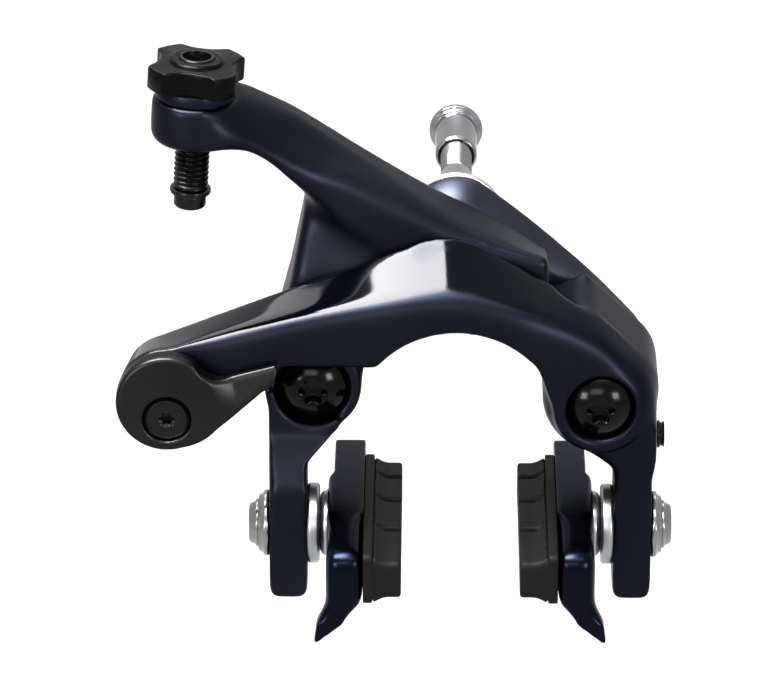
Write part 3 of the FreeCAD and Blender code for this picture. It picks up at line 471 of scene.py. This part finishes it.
def lean_web(x, y, z):
    """Leans the web back under the spar, and draws in the outer side of the leg under the pivot."""
    share = ramped(-z, 25, 28) * (z > -50)
    narrowed = np.where(share > 0, np.maximum(x, hip_outer + hip_narrowing * share), x)
    under_spar = np.interp(x, [-31, -22, -12, -3], [17.6, 8.0, 1.0, -4.0]) - z
    web = ramped(under_spar, 0, 0.8) * ramped(z, -9, -4) * ramped(-y, 16, 21) * ramped(-x, 2, 6)
    return narrowed, y + np.clip(web_slope * (z - web_middle), -1.7, 2.6) * web, z


def slot_for_bolt(x, y, z):
    """The leg's long hole and the flats round it, which stay true to size."""
    past_round = np.maximum(np.abs(z - shoe_z) - slot_half_length, 0)
    return 0.95 * ramped(slot_flat_radius - np.hypot(y - shoe_y, past_round), 0, 1.5)


def spar_blends(x, y, z):
    """The spar's ridge, the hollow between spar and web, and the leg's front."""
    spar = ramped(-y, 14.5, 17.5) * ramped(x, -45, -38) * ramped(z, -9, -5)
    spar *= 1 - 0.7 * ramped(x, 8, 12)
    leg = 0.4 * ramped(-y, 22, 24) * ramped(-z, 33, 35) * ramped(z, -50, -42) * ramped(-x, 28.4, 30.5)
    return np.maximum(spar, leg)


# A shade darker than the bracket's copy of the same anodising: the split is painted light and shade, the
# bracket lighter for the light on its tops, the arms darker for the shade on their upright faces.
satin_anodising_painted_shade = anodised("anodised_aluminium_bead_blasted_painted_shade", "#191b22", "#12141a", 0.38)
forged("rear_arm", satin_anodising_painted_shade, "rear_arm", voxel=0.35, rounds=28,
       press=lean_web, soft=spar_blends, soft_rounds=110, held=slot_for_bolt)


# Link roller and return spring
# Hardened and ground roller on its pin in the rear arm's fork, and a spring of oiled music wire
# round the left pivot.


def ring(name, profile, broken, origin, axis, sides=72):
    """A turned ring: its profile once round, with its corners broken."""
    return turned(name, eased([*profile, profile[0]], broken)[:-1], origin, axis, sides)


roller_place = (14.0, 0, -4.5)
roller_radius, roller_bore, roller_front, roller_back = 2.5, 1.24, -20.05, -13.05
roller = ring("link_roller_ground", [
    (roller_front, roller_bore), (roller_front, roller_radius),
    (roller_back, roller_radius), (roller_back, roller_bore),
], 0.2, roller_place, backwards, 48)
place_piece(roller, ground_steel, "link_roller", "link_roller")
finish(ground_steel, "link_roller_pin")
# Drawn wire under oil: a dark metal with a wet sheen.
finish(coated("music_wire_oiled", "#4a4946", 0.3, 0.9), "return_spring")


# Front arm
# C-shaped forging over the tyre, with the right shoe leg. The upright faces are blasted as on the rear
# arm; the leaning facet on top is masked and lacquered, and fades to satin before the right pivot.
gloss_start, gloss_end = 15.0, 23.0
facet_front, facet_back = -26.0, -25.4
facet_lean_from, facet_lean_to = 0.70, 0.77
arch_radius, arch_z, arch_left = 18.7, -27.3, -14.5


def lacquer_on_the_facet(material, tone, roughness):
    """Clear gloss over black on the leaning facet: a dark mirror, with a soft edge to the satin."""
    tree = material.node_tree
    shader = tree.nodes["Principled BSDF"]
    place = add(tree, "ShaderNodeTexCoord")
    spot = add(tree, "ShaderNodeSeparateXYZ", {"Vector": place.outputs["Object"]})
    lean = add(tree, "ShaderNodeSeparateXYZ", {"Vector": place.outputs["Normal"]})
    faces_up = add(tree, "ShaderNodeMapRange", {
        "Value": lean.outputs["Z"], "From Min": facet_lean_from, "From Max": facet_lean_to,
    })
    in_front = add(tree, "ShaderNodeMapRange", {
        "Value": spot.outputs["Y"], "From Min": facet_back * MM, "From Max": facet_front * MM,
    })
    before_pivot = add(tree, "ShaderNodeMapRange", {
        "Value": spot.outputs["X"], "From Min": gloss_end * MM, "From Max": gloss_start * MM,
    })
    mask = faces_up
    for limit in (in_front, before_pivot):
        mask = add(tree, "ShaderNodeMath", {0: mask.outputs[0], 1: limit.outputs[0]}, operation="MULTIPLY")
    for socket, glossy in (("Base Color", colour(tone)), ("Roughness", (roughness,) * 3 + (1.0,))):
        blasted = shader.inputs[socket].links[0].from_socket
        blend = add(tree, "ShaderNodeMixRGB", {"Fac": mask.outputs[0], "Color1": blasted, "Color2": glossy})
        tree.links.new(blend.outputs[0], shader.inputs[socket])
    bare = add(tree, "ShaderNodeMath", {0: 1.0, 1: mask.outputs[0]}, operation="SUBTRACT", use_clamp=True)
    tree.links.new(bare.outputs[0], shader.inputs["Metallic"])
    shader.inputs["Specular IOR Level"].default_value = 0.15


def ridge_blend(x, y, z):
    """The facet with its lower ridge, short of the arch's own edge and of the pivot's recess."""
    clear = ramped(np.hypot(x - pivot_x, z - pivot_z), 7.0, 8.5)
    lower_edge = np.interp(x, [-50, -31.5, arch_left], [-27.0, -15.2, -15.5])
    off_edge = np.where(x < arch_left, z - lower_edge, np.hypot(x, z - arch_z) - arch_radius)
    ridge = ramped(-y, 25.6, 27.5) * ramped(x, -50, -44) * clear * ramped(off_edge, 1.5, 4.0) * (z > -30)
    shoulder = ramped(x, 17.5, 20) * ramped(-y, 10, 12) * ramped(z, -10, -8)
    return np.maximum(ridge, shoulder)


# Painted shade: like the rear arm's, this copy of the anodising is darker than the bracket's, for the shade
# on the arm's upright faces.
lacquered_painted_shade = anodised("anodised_aluminium_with_gloss_lacquer_painted_shade", "#171920", "#101218", 0.38)
lacquer_on_the_facet(lacquered_painted_shade, "#05070e", 0.07)
forged("front_arm", lacquered_painted_shade, "front_arm", voxel=0.35, rounds=28,
       soft=ridge_blend, soft_rounds=170, held=slot_for_bolt)


# Quick-release lever
# Die-cast lever, blasted and anodised a neutral dark grey. Its disc turns in the front arm's boss,
# and the cable's bolt sits off its centre in a counterbore.
disc_x, disc_z, disc_edge = -52.75, -20.8, 8.8
lever_cos, lever_sin = 0.946, 0.324


def thumb_piece(x, y, z):
    """Leans the front of the thumb piece back from the disc's edge and from its lower side."""
    out = (x - disc_x) * lever_cos + (z - disc_z) * lever_sin
    up = (z - disc_z) * lever_cos - (x - disc_x) * lever_sin
    past_disc = np.clip(out - disc_edge, 0, 30)
    back = (0.05 * past_disc + 0.26 * np.clip(6.5 + up, 0, 12)) * ramped(past_disc, 0, 4)
    return x, y + np.minimum(back, 2.6) * ramped(-y, 36.4, 40.0), z


lever_anodising = anodised("anodised_aluminium_dark_grey", "#232323", "#1b1b1b", 0.33)
forged("release_lever", lever_anodising, "release_lever", voxel=0.22, rounds=8, press=thumb_piece)

bolt_place = (disc_x, 0, disc_z - 3.0)
cable_bolt_tip, cable_bolt_face, cable_bolt_radius, cable_bolt_head = -17.8, -39.7, 2.5, 3.7
# Black oxide under oil: nearly black, with a soft sheen.
black_steel = coated("steel_black_oxide", "#121213", 0.28, 0.5)
cable_bolt = turned("anchor_bolt_turned", [
    (cable_bolt_tip, 0),
    *eased([(cable_bolt_tip, 0.1), (cable_bolt_tip, cable_bolt_radius - 0.4),
            (cable_bolt_tip - 0.4, cable_bolt_radius), (cable_bolt_face + 1.2, cable_bolt_radius),
            (cable_bolt_face + 1.2, cable_bolt_head), (cable_bolt_face, cable_bolt_head),
            (cable_bolt_face - 0.05, 2.2), (cable_bolt_face + 0.1, 1.45)], 0.3),
    (cable_bolt_face + 0.35, 1.3, six_lobes), (cable_bolt_face + 2.0, 1.2, six_lobes),
    (cable_bolt_face + 2.1, 0.6), (cable_bolt_face + 1.9, 0),
], bolt_place, backwards, 64)
place_piece(cable_bolt, black_steel, "release_lever", "anchor_bolt")

clamp_front, clamp_back, clamp_flats, clamp_bore = -22.9, -18.9, 4.0, 2.55
clamp_nut = turned("clamp_nut_hexagon", [
    (clamp_front, clamp_bore), (clamp_front, clamp_flats - 0.2), (clamp_front + 0.15, clamp_flats, hexagon),
    (clamp_back - 0.4, clamp_flats, hexagon), (clamp_back, clamp_flats - 0.15),
    (clamp_back, 2.9), (clamp_back - 0.3, clamp_bore),
], bolt_place, backwards, 72)
place_piece(clamp_nut, ground_steel, "release_lever", "clamp_nut")
finish(ground_steel, "clamp_plate")


# Barrel adjuster
# Threaded black steel barrel with a clip near its foot, a collar that stays with the arm, and a
# moulded knob of glass-filled nylon with four blunt lobes to turn it by.
barrel_lean = math.radians(3.5)
barrel_foot = (-47.9, -24.0, 24.6)
barrel_up = (math.sin(barrel_lean), 0, math.cos(barrel_lean))
barrel_radius, barrel_root, barrel_crest, barrel_pitch = 2.95, 2.62, 3.2, 1.0
barrel_low, barrel_high, housing_radius, cable_radius, housing_seat = -12.7, 16.5, 2.6, 1.1, 8.5
clip_low, clip_high, clip_groove, clip_radius = -10.0, -9.0, 2.75, 3.75
barrel = turned("adjuster_barrel_threaded", [
    *eased([(barrel_low, cable_radius), (barrel_low, barrel_radius - 0.35),
            (barrel_low + 0.4, barrel_radius), (clip_low - 0.2, barrel_radius),
            (clip_low - 0.05, clip_groove - 0.05),
            (clip_high + 0.05, clip_groove - 0.05), (clip_high + 0.2, barrel_radius)], 0.1),
    *thread(clip_high + 0.4, barrel_high - 0.3, barrel_root, barrel_crest, barrel_pitch),
    *eased([(barrel_high - 0.1, 3.1), (barrel_high, 2.9), (barrel_high, housing_radius),
            (housing_seat, housing_radius), (housing_seat, cable_radius)], 0.12),
], barrel_foot, barrel_up, 48)
place_piece(barrel, black_steel, "adjuster_barrel", "adjuster_barrel")
clip = ring("adjuster_ring_clip", [
    (clip_low, clip_groove), (clip_low, clip_radius), (clip_high, clip_radius), (clip_high, clip_groove),
], 0.3, barrel_foot, barrel_up, 48)
place_piece(clip, black_steel, "adjuster_barrel", "adjuster_ring")

collar_low, collar_high, collar_radius, collar_bore = 8.82, 11.0, 7.3, 3.3
collar = ring("adjuster_collar_turned", [
    (collar_low, collar_bore), (collar_low, collar_radius),
    (collar_high, collar_radius), (collar_high, collar_bore),
], 0.45, barrel_foot, barrel_up)
place_piece(collar, satin_anodising_painted_shade, "rear_arm", "adjuster_collar")

knob_low, knob_top, knob_radius, knob_bore = 11.1, 15.4, 9.3, 3.3
hollow_radius, hollow_away, hollow_turn = 8.5, 15.2, math.radians(-98)


def lobes(angle, radius, along):
    """The knob's outline: four hollows cut into a circle, drawn in as far as the circle is."""
    off = (angle - hollow_turn + math.pi / 4) % (math.pi / 2) - math.pi / 4
    inside = hollow_radius ** 2 - (hollow_away * math.sin(off)) ** 2
    waist = hollow_away * math.cos(off) - math.sqrt(inside) if inside > 0 else radius
    return min(radius, waist - (knob_radius - radius) * 0.4)


def moulded(name, tone, roughness, grain_mm, specular):
    """Spark-eroded moulding: a fine dull grain all over, drawn coarse enough to show."""
    made, tree, shader = new_material(name)
    place = add(tree, "ShaderNodeTexCoord")
    grain = add(tree, "ShaderNodeTexNoise", {
        "Vector": place.outputs["Object"], "Scale": 1 / (grain_mm * MM), "Detail": 3.0,
    })
    gloss = add(tree, "ShaderNodeMapRange", {
        "Value": grain.outputs["Fac"], "From Min": 0.3, "From Max": 0.7,
        "To Min": roughness - 0.07, "To Max": roughness + 0.07,
    })
    tree.links.new(gloss.outputs[0], shader.inputs["Roughness"])
    bump = add(tree, "ShaderNodeBump", {
        "Height": grain.outputs["Fac"], "Strength": 0.25, "Distance": 0.03 * MM,
    })
    tree.links.new(bump.outputs[0], shader.inputs["Normal"])
    shader.inputs["Base Color"].default_value = colour(tone)
    shader.inputs["Specular IOR Level"].default_value = specular
    return made


# Glass-filled nylon: near black, with hardly any shine.
nylon = moulded("nylon_black_moulded", "#050506", 0.3, 0.35, 0.04)
knob = turned("adjuster_knob_moulded", [
    (knob_low, knob_bore), (knob_low, 5.0), (knob_low, knob_radius - 0.3, lobes),
    (knob_low + 0.12, knob_radius - 0.1, lobes), (knob_low + 0.4, knob_radius, lobes),
    (knob_top - 0.4, knob_radius, lobes), (knob_top - 0.12, knob_radius - 0.1, lobes),
    (knob_top, knob_radius - 0.3, lobes), (knob_top + 0.1, knob_radius - 0.7, lobes),
    (knob_top + 0.12, 5.25), (knob_top + 0.15, 5.1), (knob_top + 0.5, 5.0), (knob_top + 0.75, 4.7),
    (knob_top + 0.9, 4.2), (knob_top + 0.9, 3.6), (knob_top + 0.7, knob_bore),
], barrel_foot, barrel_up, 192)
place_piece(knob, nylon, "adjuster_knob", "adjuster_knob")


# Centering screw
# Small black screw in the right flank of the front arm, with a hexagon socket.
flank_x, flank_place = 37.45, (0, -20.0, -35.6)
tip_x, face_x, centering_radius, centering_head = flank_x - 5.5, flank_x + 1.3, 1.75, 2.6
centering_screw = turned("centering_screw_black", [
    (tip_x, 0),
    *eased([(tip_x, 0.1), (tip_x, centering_radius), (flank_x, centering_radius), (flank_x, centering_head),
            (flank_x + 0.4, centering_head), (flank_x + 0.6, 2.2), (flank_x + 0.9, 2.2), (face_x, 2.5),
            (face_x, 1.3)], 0.12),
    (face_x - 0.1, 1.0, hexagon), (flank_x + 0.3, 0.95, hexagon), (flank_x + 0.3, 0),
], flank_place, (1, 0, 0), 48)
place_piece(centering_screw, black_steel, "centering_screw", "centering_screw")


# Brake shoes
# On each leg a plated bolt with its dished washers holds the shoe: a glossy anodised holder with a
# pointed wheel guide, the rubber pad that slides into it, and the small screw that keeps the pad.
# Places along the bolt are measured from the leg's inner face, towards the rim.
bolt_tip, under_bolt_head, bolt_face, bolt_radius, bolt_flange, bolt_key = 9.0, -9.1, -10.9, 3.0, 4.5, 2.1
around_bolt = bolt_radius + 0.1
keeper_behind, keeper_tip, keeper_face, keeper_radius, keeper_head = 11.0, 9.4, 3.24, 1.14, 1.9
pad_base, flare, flare_width = 12.4, 1.3, 3.0
slot_deep, slot_half_width, slot_start = 0.5, 0.6, 0.6
# The alloy washers are softer than the bolt and duller: broad rings of light.
washer_alloy = bright_metal("aluminium_turned", "#98999b", "#78797b", 0.33, 0.22)
# Polished before anodising: a deep blue black that mirrors what stands round it.
holder_gloss = coated("anodised_aluminium_polished", "#0e111a", 0.24, 1.0, 0.2)
# Moulded rubber: dull, and a little grey where it is seen at a slant.
rubber = moulded("brake_rubber_moulded", "#141413", 0.6, 0.45, 0.05)


def shoe_clamp(side, origin, axis):
    """The flanged bolt with its dished washer outside the leg, and the thick and ball washers inside."""
    slider = side + "_shoe_slider"
    bolt = turned(side + "_shoe_bolt_flanged", [
        (bolt_tip, 0),
        *eased([(bolt_tip, 0.1), (bolt_tip, bolt_radius - 0.4), (bolt_tip - 0.4, bolt_radius),
                (under_bolt_head, bolt_radius), (under_bolt_head, bolt_flange),
                (under_bolt_head - 0.45, bolt_flange), (under_bolt_head - 0.65, 4.1),
                (bolt_face + 0.2, 3.65), (bolt_face, 3.3), (bolt_face, 2.4)], 0.12),
        (bolt_face + 0.15, bolt_key, hexagon), (bolt_face + 1.5, bolt_key - 0.05, hexagon),
        (bolt_face + 1.6, 1.0), (bolt_face + 1.4, 0),
    ], origin, axis, 72)
    place_piece(bolt, plating, slider, side + "_shoe_bolt")
    dished = ring(side + "_outer_washer_dished", [
        (-7.02, around_bolt), (-7.02, 5.9), (-7.4, 6.2), (-8.0, 6.2), (-8.3, 5.7), (-8.7, 5.4),
        (-9.08, 5.25), (-9.08, around_bolt),
    ], 0.12, origin, axis)
    place_piece(dished, plating, slider, side + "_outer_washer")
    thick = ring(side + "_inner_washer_turned", [
        (0.02, around_bolt), (0.02, 7.1), (0.4, 7.5), (1.9, 7.5), (2.28, 7.15), (2.28, around_bolt),
    ], 0.15, origin, axis)
    place_piece(thick, washer_alloy, slider, side + "_inner_washer")
    ball = ring(side + "_ball_washer_turned", [
        (2.32, around_bolt), (2.32, 4.9), (2.6, 5.6), (3.1, 6.05), (3.78, 6.15), (3.78, around_bolt),
    ], 0.15, origin, axis)
    place_piece(ball, washer_alloy, slider, side + "_ball_washer")


def front_end(x, y, z):
    """The holder's thick front end, over the wheel guide."""
    return ramped(-y, 33, 37) * ramped(z, -60.5, -57.5)


def brake_shoe(side, inner_x, inward):
    """The holder, the pad with its flared flanks, and the screw that keeps the pad."""
    def hollow_flanks(x, y, z):
        """Sweeps the pad's flanks out to its base, and runs its slots on over them."""
        past_base = (x - inner_x) * inward - pad_base
        curve = np.where(past_base < 0.1, 0.0, -flare * np.clip(1 - past_base / flare_width, 0, 1) ** 2)
        slots = [np.abs(y - shoe_y - place) < slot_half_width for place in (10.5, 0.2, -11.6)]
        curve = curve + slot_deep * np.any(slots, axis=0) * (past_base > slot_start)
        off_middle = z - (shoe_z + 1.1)
        return x, y, z - np.sign(off_middle) * curve * ramped(np.abs(off_middle), 0.5, 3.0)

    shoe = side + "_shoe"
    keeper = turned(side + "_pad_screw_domed", [
        (keeper_tip, 0),
        *eased([(keeper_tip, 0.1), (keeper_tip, keeper_radius), (4.78, keeper_radius), (4.78, keeper_head),
                (4.0, keeper_head), (3.5, 1.6), (3.3, 1.1)], 0.2),
        (keeper_face + 0.01, 0.6), (keeper_face, 0),
    ], (inner_x, shoe_y + keeper_behind, shoe_z), (inward, 0, 0), 48)
    place_piece(keeper, plating, shoe, side + "_pad_screw")
    forged(side + "_shoe_holder", holder_gloss, shoe, voxel=0.25, rounds=10,
           soft=front_end, soft_rounds=220)
    forged(side + "_brake_pad", rubber, shoe, voxel=0.22, rounds=5, press=hollow_flanks)


for side, inner_x, inward in (("left", -27.6, 1), ("right", 29.3, -1)):
    shoe_clamp(side, (inner_x, shoe_y, shoe_z), (inward, 0, 0))
    brake_shoe(side, inner_x, inward)
